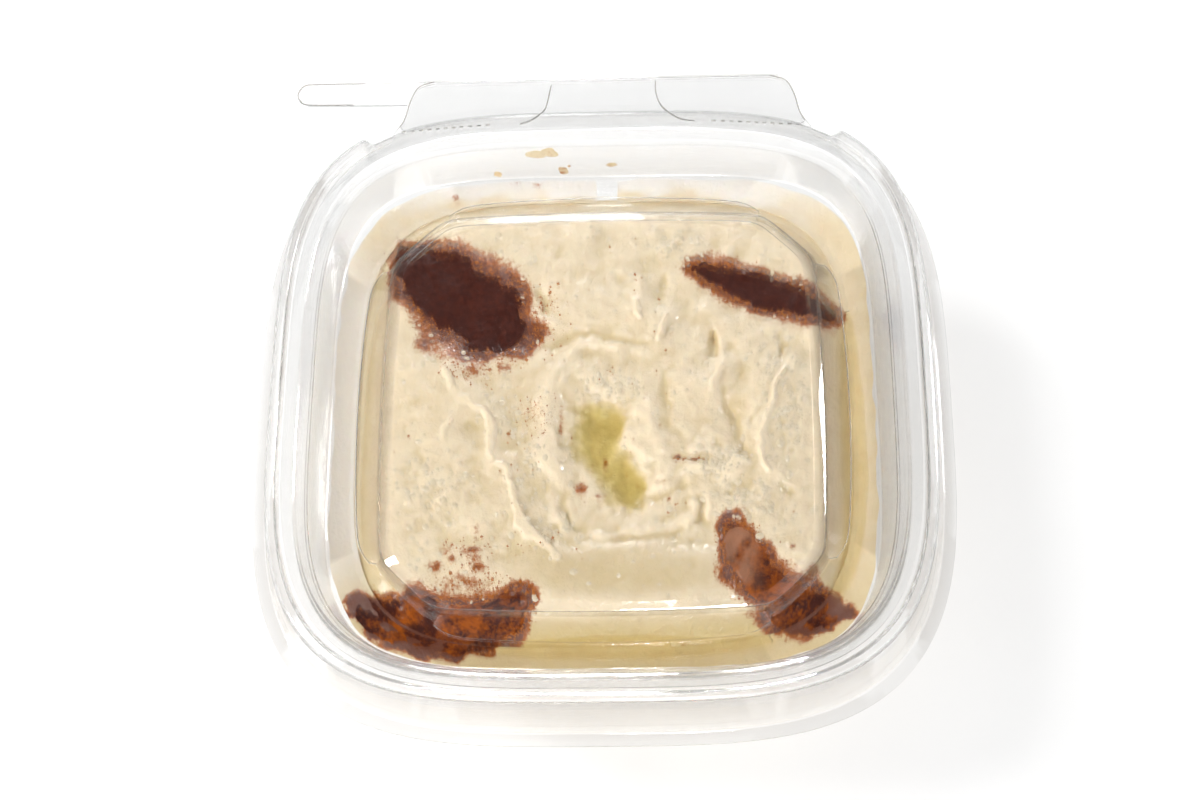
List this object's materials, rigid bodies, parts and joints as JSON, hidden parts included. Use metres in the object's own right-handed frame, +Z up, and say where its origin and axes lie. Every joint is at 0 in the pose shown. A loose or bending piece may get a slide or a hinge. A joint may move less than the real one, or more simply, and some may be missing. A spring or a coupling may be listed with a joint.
{
  "type": "tub of hummus",
  "caption": "Square clear plastic deli tub of spooned hummus with olive oil and paprika, under a recessed clear lid on a folded hinge strip with a pull tab.",
  "frame": {"origin": "on the table under the middle of the tub, at the underside of its floor", "axes": "+Z up, out of the lid; +Y towards the hinge strip; +X to the right, seen from the front"},
  "size_m": [0.1338, 0.1359, 0.044],
  "materials": {
    "clear_tub": "clear glossy thermoformed PET sheet",
    "clear_lid": "clear glossy thermoformed PET sheet",
    "hummus": "moist, slightly grainy paste",
    "olive_oil": "clear golden-green oil",
    "paprika": "ground spice wet with oil"
  },
  "bodies": {
    "base": {"tub": "clear_tub", "hummus": "hummus", "oil_pool": "olive_oil", "oil_front": "olive_oil", "oil_right": "olive_oil", "paprika_back_left": "paprika", "paprika_back_right": "paprika", "paprika_front_left": "paprika", "paprika_front_right": "paprika"},
    "lid": {"lid": "clear_lid"}
  },
  "joints": [
    {"name": "lid_hinge", "type": "hinge", "parent": "base", "child": "lid", "pos_m": [0, 0.0692, 0.04253], "axis": [-1, 0, 0], "range_deg": [0, 180]}
  ]
}
